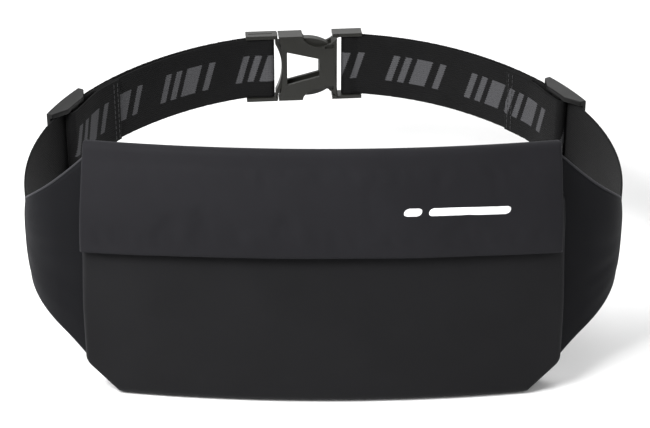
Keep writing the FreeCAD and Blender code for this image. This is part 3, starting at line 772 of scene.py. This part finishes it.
def make_flap():
    """The flap and its fold; gives back the surface that the printed bars lie on."""
    curl_radius, curl_back, middle_count = 1.8, 0.3, 97
    flat = FLAP_SIDE - curl_radius
    profile = flap_profile()
    normal = unit(np.stack([-np.gradient(profile[:, 1]), np.gradient(profile[:, 0])], -1))
    turns = np.radians(np.linspace(0.0, 90.0, 8))[1:]
    edge_across = list(flat + curl_radius * np.sin(turns)) + [flat + curl_radius]
    edge_drop = list(curl_radius * (1 - np.cos(turns))) + [curl_radius + curl_back]
    middle = np.linspace(-flat, flat, middle_count)
    across = np.array([-a for a in edge_across[::-1]] + list(middle) + edge_across)
    drop = np.array(edge_drop[::-1] + [0.0] * len(middle) + edge_drop)
    share = np.clip((profile[:, 0] - BACK_RADIUS - 3.0) / 3.0, 0.35, 1.0)
    radius = profile[None, :, 0] - normal[None, :, 0] * drop[:, None] * share
    height = profile[None, :, 1] - normal[None, :, 1] * drop[:, None] * share
    fall = np.clip((BACK_TOP - profile[:, 1]) / (BACK_TOP - FLAP_LOWER_EDGE), 0.0, 1.0)[None, :]
    reach = np.where(across[:, None] < 0.0, SIDE - 0.6 + 0.7 * fall, SIDE - 2.1)
    wide = across[:, None] * reach / FLAP_SIDE
    hanging = ease((BACK_TOP - height) / 25.0) * (profile[None, :, 0] > BACK_RADIUS + 5.0)
    soft = ripple(wide, height, 42.0, 21.0) * 0.6 + ripple(wide, height, 17.0, 5.0) * 0.2
    radius = radius + np.clip(soft, -0.45, 0.3) * hanging
    height = height + hanging * 0.3 * ripple(wide, 0 * wide, 60.0, 14.0)
    height = height + hanging * (0.8 - 2.2 * (wide / FLAP_SIDE) ** 2)
    points = on_pouch(wide, radius, height)
    edge = np.abs(across[:, None]) > flat - 3.0
    pinned = edge | (profile[None, :, 0] < BACK_RADIUS + 9.0) | (profile[None, :, 1] < 18.0)
    points = settle(points, pinned, 1.0, 0.01, 0.4)
    length = run_along(profile)
    texture = paired(wide, length[None, :])
    piece = cloth_grid("flap_cloth", points, texture, FLAP_FABRIC_PAINTED_LIGHT, 1.4)
    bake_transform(piece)
    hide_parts("flap_panel", "pouch_top_fold")
    return across, profile[:, 1], points


def make_back():
    """Padded back panel of spacer mesh, thinner towards its bound edge."""
    top = BACK_TOP
    side = SIDE - 0.2
    across = across_places(side, 6.0, 3.0)[:, None]
    foot = lower_edge(across, BACK_CORNER) + 0.3
    tall = top - POUCH_BOTTOM
    half = spread(tall / 2, 6.0, 3.0)
    rise = np.concatenate([half, tall - half[::-1][1:]])
    height = foot + rise[None, :] * (top - foot) / tall
    border = np.minimum(side - np.abs(across), np.minimum(height - foot, top - height))
    pad = rounding(border, 8.0)
    channels = np.zeros_like(height)
    for place in (-59.0, 0.0, 59.0):
        channels = np.maximum(channels, np.exp(-((across - place) / 2.2) ** 2))
    soft = 1.0 - 0.75 * channels
    soft = soft + 0.12 * ripple(across, height, 20.0, 31.0)
    rear = on_pouch(across, BACK_RADIUS - 0.2 - 2.6 * pad * soft, height)
    front = on_pouch(across, BACK_RADIUS + 0.8 * pad, height)
    rows, columns = height.shape
    rear_faces = grid_faces(rows, columns)
    offset = rows * columns
    front_faces = [tuple(offset + k for k in face[::-1]) for face in rear_faces]
    number = np.arange(offset).reshape(rows, columns)
    loop = [*number[0], *number[1:, -1], *number[-1, -2::-1], *number[-2:0:-1, 0]]
    loop = [int(k) for k in loop]
    walls = [(a, b, offset + b, offset + a) for a, b in zip(loop, loop[1:] + loop[:1])]
    points = np.concatenate([rear.reshape(-1, 3), front.reshape(-1, 3)])
    flat = paired(across, height).reshape(-1, 2)
    texture = np.concatenate([flat, flat])
    piece = mesh_piece("back_pad", points, rear_faces + front_faces + walls, texture, [BACK_MESH])
    tidy_normals(piece)
    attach(piece, "pouch")
    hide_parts("pouch_back_panel")


def make_back_binding():
    """Folded binding tape sewn round the edge of the back panel."""
    side = SIDE - 1.2
    width, height = BACK_CORNER
    top = BACK_TOP - 7.0
    corners = [
        (-side, top), (-side, POUCH_BOTTOM + height), (-side + width, POUCH_BOTTOM + 0.6),
        (side - width, POUCH_BOTTOM + 0.6), (side, POUCH_BOTTOM + height), (side, top),
    ]
    step = 2.0
    line = resample(np.array(corners), step)
    for _ in range(3):
        line[1:-1] = (line[:-2] + 2 * line[1:-1] + line[2:]) / 4
    place = on_pouch(line[:, 0], BACK_RADIUS - 0.35, line[:, 1])
    along = unit(np.gradient(place, axis=0))
    angle = line[:, 0] / BACK_RADIUS
    out = np.stack([np.sin(angle), -np.cos(angle), 0 * angle], -1)
    across = np.cross(along, out)
    turns = np.linspace(0, 2 * math.pi, 14, endpoint=False)
    ring_out = 1.35 * np.sign(np.cos(turns)) * np.abs(np.cos(turns)) ** 0.6
    ring_across = 1.5 * np.sin(turns)
    points = (
        place[:, None, :] + out[:, None, :] * ring_out[None, :, None]
        + across[:, None, :] * ring_across[None, :, None]
    )
    texture = paired(step * np.arange(len(line))[:, None], ring_across[None, :])
    piece = tube("back_binding", points, texture, EDGE_TAPE)
    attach(piece, "pouch")


# ---- pocket linings and fastening strips ----
def strip_on_pouch(name, low, high, radius, thickness, material, body, node, bulge=0.0):
    """A flat strip or lining that follows the pouch, with rounded corners and a soft face."""
    half = BACK_RADIUS * math.asin(high[0] / (radius + thickness / 2))
    round_corner = min(3.0, (high[2] - low[2]) / 2)
    across = across_places(half, round_corner, 2.5)[:, None]
    near_end = np.clip(round_corner - (half - np.abs(across)), 0.0, round_corner)
    cut = round_corner - np.sqrt(np.maximum(round_corner ** 2 - near_end ** 2, 0.0))
    count = max(8, int((high[2] - low[2]) / 2.0))
    share = (1 - np.cos(np.linspace(0, math.pi, count)))[None, :] / 2
    height = low[2] + cut + (high[2] - low[2] - 2 * cut) * share
    crown = bulge * np.sin(math.pi * share) ** 0.5 * rounding(half - np.abs(across), 4.0)
    soft = 0.25 * bulge * ripple(across, height, 6.0, 40.0)
    points = on_pouch(across, radius + thickness / 2 + crown + soft, height)
    texture = paired(across, height)
    piece = cloth_grid(name, points, texture, material, thickness)
    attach(piece, body)
    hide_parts(node)
    return piece


def make_linings():
    divider = strip_on_pouch(
        "divider_cloth", divider_low, divider_high, BACK_RADIUS + 2.2, 0.6,
        LINING, "pouch", "pocket_divider", bulge=0.5,
    )
    front = POUCH_AXIS[1] - loop_low[1]
    strip_on_pouch(
        "loop_strip", loop_low, loop_high, front - 0.35, 0.5,
        LOOP_TAPE, "pouch", "front_loop_strip", bulge=0.3,
    )
    rear = POUCH_AXIS[1] - hook_low[1]
    strip_on_pouch(
        "hook_strip", hook_low, hook_high, rear - 0.35, 0.6,
        HOOK_TAPE, "flap", "flap_hook_strip", bulge=-0.25,
    )


def ring_section(half_thickness, low, high, count=5):
    """A flat section with rounded ends: (outward, height) corners in order."""
    turns = np.linspace(0.0, math.pi, count)
    top = [(half_thickness * math.cos(t), high + half_thickness * (math.sin(t) - 1)) for t in turns]
    bottom = [
        (-half_thickness * math.cos(t), low - half_thickness * (math.sin(t) - 1)) for t in turns
    ]
    return np.array(top + bottom)


def make_mouth_binding():
    """Elastic binding round the pocket's mouth, slightly gathered."""
    half = SIDE - 1.5
    across = np.linspace(-half, half, 480)
    radius = BACK_RADIUS + BACK_HALF + POCKET_DEPTH - MOUTH_LEAN - 0.65
    path = on_pouch(across, radius, 0 * across)[:, :2]
    section = ring_section(1.15, MOUTH_HEIGHT - 2.6, mouth_high[2])
    gather = 0.18 * np.sin(across * 2 * math.pi / 2.2)[:, None] * np.ones(len(section))
    piece = section_sweep("mouth_binding", path, section, [EDGE_TAPE], lift=gather)
    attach(piece, "pouch")
    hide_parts("pocket_mouth_tape")


# ---- wings ----
def wing_line(step):
    """The belt line under the right-hand wing, and how far along the wing each point is."""
    inside = 1.2
    path = joined(
        arc_points(POUCH_AXIS, BACK_RADIUS, POUCH_EDGE_ANGLE - math.degrees(inside / BACK_RADIUS),
                   WING_ANGLE),
        arc_points(WING_CENTRE, WING_RADIUS, WING_ANGLE, STRAP_ANGLE),
        side_arc(0.0, STRAP_ANGLE, STRAP_ANGLE + WING_OVERLAP),
    )
    path = resample(path, step)
    run = run_along(path)
    return path, np.clip((run - inside) / (run[-1] - inside), 0, 1), run


def wing_edges(share):
    middle = 4.0 * share * (1.0 - share)
    top = WING_TOP + (WING_END_TOP - WING_TOP) * share - 2.2 * middle
    bottom = WING_BOTTOM + (WING_END_BOTTOM - WING_BOTTOM) * share
    bottom = bottom + 2.6 * middle - 3.6 * (1.0 - share) ** 4
    return top, bottom


def make_wing(side_name, flip):
    """One sleeve of two layers, closed at its ends, with soft fanned creases."""
    path, share, run = wing_line(WING_STEP)
    normal = sideways(path)
    top, bottom = wing_edges(share)
    count = 33
    level = np.linspace(-1.0, 1.0, count)
    full = (1 - np.abs(level) ** 3.0)[None, :]
    hem = 0.3 * ease((share - 0.90) / 0.03)[:, None]
    height = (top + bottom)[:, None] / 2 + level[None, :] * (top - bottom)[:, None] / 2
    seed = 60.0 if flip else 50.0
    fan = ripple(run[:, None] / 3.2, level[None, :] * 46.0, 9.0, seed)
    cross = ripple(run[:, None], height, 22.0, seed + 5.0)
    swell = np.sin(math.pi * np.clip(share, 0.02, 1.0))[:, None]
    outer = 0.75 + full * (1.15 + hem + (0.75 * fan + 0.55 * cross + 0.35) * swell * 0.8)
    inner = -0.75 - full * (1.15 + hem + (0.5 * fan - 0.3 * cross) * swell * 0.6)
    ring = np.concatenate([outer, inner[:, ::-1]], axis=1)
    tall = np.concatenate([height, height[:, ::-1]], axis=1)
    points = beside(path, normal, ring, tall)
    texture = paired(run[:, None], tall)
    if flip:
        points = mirrored(points)
    columns = 2 * count
    faces = grid_faces(len(path), columns, closed=True)
    last = (len(path) - 1) * columns
    for k in range(count - 1):
        faces.append((k, k + 1, columns - 2 - k, columns - 1 - k))
        faces.append((last + k, last + columns - 1 - k, last + columns - 2 - k, last + k + 1))
    name = f"wing_cloth_{side_name}"
    piece = mesh_piece(name, points.reshape(-1, 3), faces, texture.reshape(-1, 2), [WING_FABRIC_PAINTED_SHADE])
    tidy_normals(piece)
    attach(piece, "pouch")
    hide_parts(f"wing_outer_{side_name}", f"wing_inner_{side_name}")
    tall = top - bottom
    for edge_name, level in (("upper", top), ("lower", bottom)):
        make_edge_tape(f"wing_tape_{edge_name}_{side_name}", path, normal, level, flip)


def make_edge_tape(name, path, normal, level, flip):
    """Narrow bonded tape along an edge of the wing."""
    turns = np.linspace(0, 2 * math.pi, 12, endpoint=False)
    out = np.cos(turns)
    up = 0.85 * np.sin(turns)
    points = beside(path, normal, out[None, :], level[:, None] + up[None, :])
    if flip:
        points = mirrored(points)
    texture = paired(WING_STEP * np.arange(len(path))[:, None], up[None, :])
    piece = tube(name, points, texture, EDGE_TAPE)
    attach(piece, "pouch")


# ---- webbing ----
def web_section():
    """Rounded section of the webbing, with the places of its faces: 0 plain, 1 inner side."""
    half = CLOTH_WEB / 2
    rows = np.linspace(-WEB_HALF + 0.9, WEB_HALF - 0.9, 15)
    edge = [(0.8 * half, WEB_HALF - 0.25), (0.0, WEB_HALF), (-0.8 * half, WEB_HALF - 0.25)]
    points = [(half, z) for z in rows] + edge + [(-half, z) for z in rows[::-1]]
    points += [(-x, -z) for x, z in edge]
    kinds = [0] * len(rows) + [0] * 3 + [1] * (len(rows) - 1) + [0] * 4
    return np.array(points), kinds


def make_web(name, path, nodes, barred, flip):
    """A ribbon of webbing with small knitted scallops along both edges.

    The path runs anticlockwise on the right-hand side. barred is the face with the woven
    bars, "inner" towards the wearer or "outer".
    """
    path = resample(mirrored(path) if flip else path, WEB_STEP)
    section, kinds = web_section()
    if flip != (barred == "outer"):
        section = mirrored(section)
    places = np.arange(len(path))[:, None]
    scallop = 0.32 * (places % 2)
    uneven = 0.18 * ripple(places * WEB_STEP, 0.0, 3.0, 7.0)
    reach = np.clip((np.abs(section[:, 1]) - WEB_HALF + 0.5) / 0.3, 0.0, 1.0)
    lift = (scallop + uneven) * (np.sign(section[:, 1]) * reach)[None, :]
    sense = 1.0 if flip else -1.0
    piece = section_sweep(name, path, section, [PLAIN_WEB, BARRED_WEB], kinds, lift, sense)
    tidy_normals(piece)
    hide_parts(*nodes)
    return piece


def buckle_point(along, out, height=None):
    """A place in the buckle's own frame: along the belt, outwards, and up."""
    turn = math.radians(BUCKLE_TURN)
    out = out + BUCKLE_RADIUS
    x = BACK_CENTRE[0] + along * math.cos(turn) - out * math.sin(turn)
    y = BACK_CENTRE[1] + along * math.sin(turn) + out * math.cos(turn)
    return np.array([x, y] if height is None else [x, y, height])


def buckle_loop(fold, sign):
    """Webbing round the bars of one half: the outer leg, and the fold with the inner leg."""
    turn_at = fold + FOLD_RADIUS + WEB_THICKNESS / 2

    def on_belt(layer, along):
        out = math.sqrt((LOOP_RADIUS + layer) ** 2 - along ** 2) - BUCKLE_RADIUS
        return buckle_point(sign * along, out)

    fold_points = [
        buckle_point(sign * (turn_at - FOLD_RADIUS * math.cos(t)), FOLD_RADIUS * math.sin(t))
        for t in np.radians(90.0 - 30.0 * np.arange(7))
    ]
    outer = [on_belt(0.0, STRAP_MEETS_BUCKLE), on_belt(0.0, 32.0)]
    outer += [buckle_point(sign * (turn_at + 2.5), FOLD_RADIUS - 0.15), fold_points[0]]
    inner = fold_points + [buckle_point(sign * (turn_at + 2.5), -FOLD_RADIUS - 0.1)]
    inner += [on_belt(INNER_LAYER, 32.0), on_belt(INNER_LAYER, STRAP_MEETS_BUCKLE)]
    return np.array(outer), np.array(inner)


def leg_layer(degrees):
    """The sewn end's inner leg rises from the slider's bar to the inner run."""
    return BAR_LAYER + (LEG_LAYER - BAR_LAYER) * ease((degrees - 0.5) / 9.0)


def sewn_end_path(slider):
    """From the tail between the layers, round the slider's bar, to the lap on the inner run."""
    turn = (TAIL_LAYER - BAR_LAYER) / 2
    bar_middle = slider - 1.2
    middle = on_circle(SIDE_RADIUS + (TAIL_LAYER + BAR_LAYER) / 2, bar_middle, SIDE_CENTRE)
    points = [
        on_circle(SIDE_RADIUS + TAIL_LAYER, slider + degrees, SIDE_CENTRE)
        for degrees in (SEWN_END_LENGTH - 0.6, 11.0, 8.0, 5.0, 2.4, 0.2)
    ]
    points += [middle + on_circle(turn, bar_middle - 30.0 * step) for step in range(7)]
    for degrees in (0.5, 2.5, 4.5, 6.5, 8.5, 10.5, 12.5, SEWN_END_LENGTH):
        radius = SIDE_RADIUS + leg_layer(degrees)
        points.append(on_circle(radius, slider + degrees, SIDE_CENTRE))
    return smooth_path(points, WEB_STEP)


def make_straps():
    wing_part = arc_points(WING_CENTRE, WING_RADIUS, STRAP_ANGLE - 30.0, STRAP_ANGLE)
    meets = math.degrees(math.asin(STRAP_MEETS_BUCKLE / LOOP_RADIUS)) + 1.5
    for side_name, flip, body, slider, fold in SIDES:
        outer_loop, inner_loop = buckle_loop(fold, -1 if flip else 1)
        if flip:
            outer_loop, inner_loop = mirrored(outer_loop), mirrored(inner_loop)
        stop = 90.0 - meets + (-BUCKLE_TURN if flip else BUCKLE_TURN)
        outer_path = joined(
            wing_part, side_arc(0.0, STRAP_ANGLE, JUNCTION_ANGLE),
            rear_arc(0.0, JUNCTION_ANGLE, stop), outer_loop,
        )
        inner_path = joined(
            side_arc(INNER_LAYER, slider + 8.0, JUNCTION_ANGLE),
            rear_arc(INNER_LAYER, JUNCTION_ANGLE, stop), inner_loop[::-1],
        )
        outer = make_web(
            f"webbing_outer_{side_name}", smooth_path(outer_path, WEB_STEP),
            [f"strap_main_{side_name}", f"strap_loop_{side_name}"], "outer", flip,
        )
        inner = make_web(
            f"webbing_inner_{side_name}", smooth_path(inner_path, WEB_STEP),
            [f"strap_inner_{side_name}"], "inner", flip,
        )
        end = make_web(
            f"webbing_sewn_end_{side_name}", sewn_end_path(slider),
            [f"strap_sewn_end_{side_name}"], "inner", flip,
        )
        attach(end, body)
        for web in (outer, inner):
            if flip:
                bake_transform(web)
            else:
                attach(web, "pouch")


# ---- moulded parts ----
def block(low, high):
    """A box in the buckle's frame, for cutting."""
    (a0, o0, h0), (a1, o1, h1) = low, high
    plan = ((a0, o0), (a1, o0), (a1, o1), (a0, o1))
    corners = [buckle_point(a, o, h) for h in (h0, h1) for a, o in plan]
    faces = [(0, 3, 2, 1), (4, 5, 6, 7), (0, 1, 5, 4), (1, 2, 6, 5), (2, 3, 7, 6), (3, 0, 4, 7)]
    return np.array(corners), faces


def join_close(shape):
    bmesh.ops.remove_doubles(shape, verts=shape.verts, dist=0.01 * MM)


def join_flat(shape):
    join_close(shape)
    bmesh.ops.dissolve_limit(
        shape, angle_limit=math.radians(1.0), verts=shape.verts, edges=shape.edges
    )


def moulded(node, name, body, material, slot, edge, cuts=()):
    """The CAD shape of a moulded part with rounded edges and small moulded recesses."""
    mesh = frame["nodes"][node].data.copy()
    piece = bpy.data.objects.new(name, mesh)
    bpy.context.scene.collection.objects.link(piece)
    mesh.materials.clear()
    mesh.materials.append(material)
    change_mesh(mesh, join_close)
    cutters = []
    for number, (points, faces) in enumerate(cuts):
        cutter = mesh_piece(f"{name}_cut_{number}", points, faces, points[:, :2], [])
        tidy_normals(cutter)
        cut = piece.modifiers.new("cut", "BOOLEAN")
        cut.operation = "DIFFERENCE"
        cut.object = cutter
        cut.solver = "EXACT"
        cutters.append(cutter)
    apply_modifiers(piece)
    for cutter in cutters:
        bpy.data.objects.remove(cutter)
    change_mesh(piece.data, join_flat)
    bevel = piece.modifiers.new("edges", "BEVEL")
    bevel.width = edge * MM
    bevel.segments = 3
    bevel.limit_method = "ANGLE"
    bevel.angle_limit = math.radians(32.0)
    bevel.use_clamp_overlap = True
    apply_modifiers(piece)
    piece.data.polygons.foreach_set("use_smooth", [True] * len(piece.data.polygons))
    shade = piece.modifiers.new("shading", "WEIGHTED_NORMAL")
    shade.keep_sharp = False
    apply_modifiers(piece)
    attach(piece, body)
    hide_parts(node)


def make_buckle():
    """The buckle's mouldings, with notches in the socket and grooves in the plug's ends."""
    plastic = (BUCKLE_PLASTIC, "buckle_plastic")
    face = -5.0
    notches = [block((12.4, face - 1, h), (17.8, face + 1.3, h + 2.6)) for h in (12.4, -15.0)]
    grooves = [block((-33.4, -0.35, h), (-19.0, 0.35, h + 1.0)) for h in (21.15, -22.15)]
    moulded("buckle_socket", "socket_moulding", "pouch", *plastic, 0.55, notches)
    moulded("buckle_plug", "plug_moulding", "plug", *plastic, 0.5, grooves)
    for level in ("upper", "lower"):
        moulded(f"prong_{level}", f"prong_moulding_{level}", f"{level}_prong", *plastic, 0.5)


def make_sliders():
    for side_name, _, body, _, _ in SIDES:
        moulded(
            f"slider_{side_name}", f"slider_moulding_{side_name}", body,
            SLIDER_PLASTIC, "slider_plastic", 0.9,
        )


# ---- stitches and print ----
STITCH_LENGTH = 2.4
STITCH_GAP = 0.8
THREAD_RADIUS = 0.22
STITCH_RINGS = ((0.0, 0.5, -0.1), (0.2, 1.0, 0.12), (0.8, 1.0, 0.12), (1.0, 0.5, -0.1))


def stitches(name, rows, body):
    """Raised thread stitches. Each row is a line of points and their outward directions.

    A stitch is four rings, each with its share of the length, size and rise off the cloth.
    """
    points, faces = [], []
    sides = 6
    ring = np.linspace(0, 2 * math.pi, sides, endpoint=False)
    fine = 0.25
    step = int(round((STITCH_LENGTH + STITCH_GAP) / fine))
    length = int(round(STITCH_LENGTH / fine))
    one = tube_faces(len(STITCH_RINGS), sides)
    for line, normal in rows:
        path = resample(np.hstack([line, normal]), fine)
        place, out = path[:, :3], path[:, 3:]
        for start in range(0, len(path) - length, step):
            reach = place[start + length] - place[start]
            up = unit(out[start])
            across = np.cross(unit(reach), up)
            faces += [tuple(len(points) + k for k in face) for face in one]
            for share, size, lift in STITCH_RINGS:
                middle = place[start] + reach * share + up * lift
                for t in ring:
                    around = across * math.cos(t) + up * math.sin(t)
                    points.append(middle + THREAD_RADIUS * size * around)
    points = np.array(points)
    piece = mesh_piece(name, points, faces, points[:, [0, 2]], [THREAD])
    tidy_normals(piece)
    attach(piece, body)


def on_leg(slider, degrees, height, flip, rise):
    """A place on the wearer's side of the sewn end, and the direction out of the cloth."""
    degrees = degrees + 0 * height
    radius = SIDE_RADIUS + leg_layer(degrees) - rise
    place = on_circle(radius, slider + degrees, SIDE_CENTRE)
    out = on_circle(-1.0, slider + degrees)
    place = np.column_stack([place, height])
    out = np.column_stack([out, 0 * degrees])
    return (mirrored(place), mirrored(out)) if flip else (place, out)


def make_lap_seams():
    """Two rows of stitching where each end of the webbing is sewn back on itself."""
    tall = 17.5
    height = np.linspace(-tall, tall, 60)
    rise = CLOTH_WEB / 2 + 0.02
    for side_name, flip, body, slider, _ in SIDES:
        rows = [on_leg(slider, degrees, height, flip, rise) for degrees in (12.9, 13.9)]
        stitches(f"lap_seam_{side_name}", rows, body)


def make_print(flap_across, flap_height, flap_points):
    """Plain reflective bars that lie on the flap's own surface."""
    front = int(np.argmax(flap_height))
    columns = np.arange(len(flap_across), dtype=float)
    rows = np.arange(len(flap_height), dtype=float)

    def on_flap(across, height):
        column = np.interp(across, flap_across, columns)
        row = np.interp(-height, -flap_height[front:], rows[front:])
        i = np.minimum(column.astype(int), len(flap_across) - 2)
        j = np.minimum(row.astype(int), len(flap_height) - 2)
        u = (column - i)[..., None]
        v = (row - j)[..., None]
        near = flap_points[i, j] * (1 - u) + flap_points[i + 1, j] * u
        far = flap_points[i, j + 1] * (1 - u) + flap_points[i + 1, j + 1] * u
        return near * (1 - v) + far * v

    middle = 36.4
    reach = 1.9
    film = 0.22
    level = np.linspace(-1, 1, 9)[None, :]
    share = np.linspace(0, 1, 60)[:, None]
    shrink = reach * (1 - np.sqrt(np.maximum(1 - level ** 2, 0.0)))
    lean = 0.35 * reach * level
    for number, (start, stop) in enumerate(((38.5, 47.0), (50.5, 90.0))):
        across = start + shrink + lean + (stop - start - 2 * shrink) * share
        height = middle + level * reach + 0 * share
        points = on_flap(across, height)
        points[..., 1] -= film
        texture = paired(across, height)
        piece = cloth_grid(f"reflective_bar_{number}", points, texture, REFLECTIVE, film)
        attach(piece, "flap")


set_the_stage()
make_front()
flap_surface = make_flap()
make_back()
make_back_binding()
make_linings()
make_mouth_binding()
for side_name, flip, *_ in SIDES:
    make_wing(side_name, flip)
make_straps()
make_buckle()
make_sliders()
make_lap_seams()
make_print(*flap_surface)
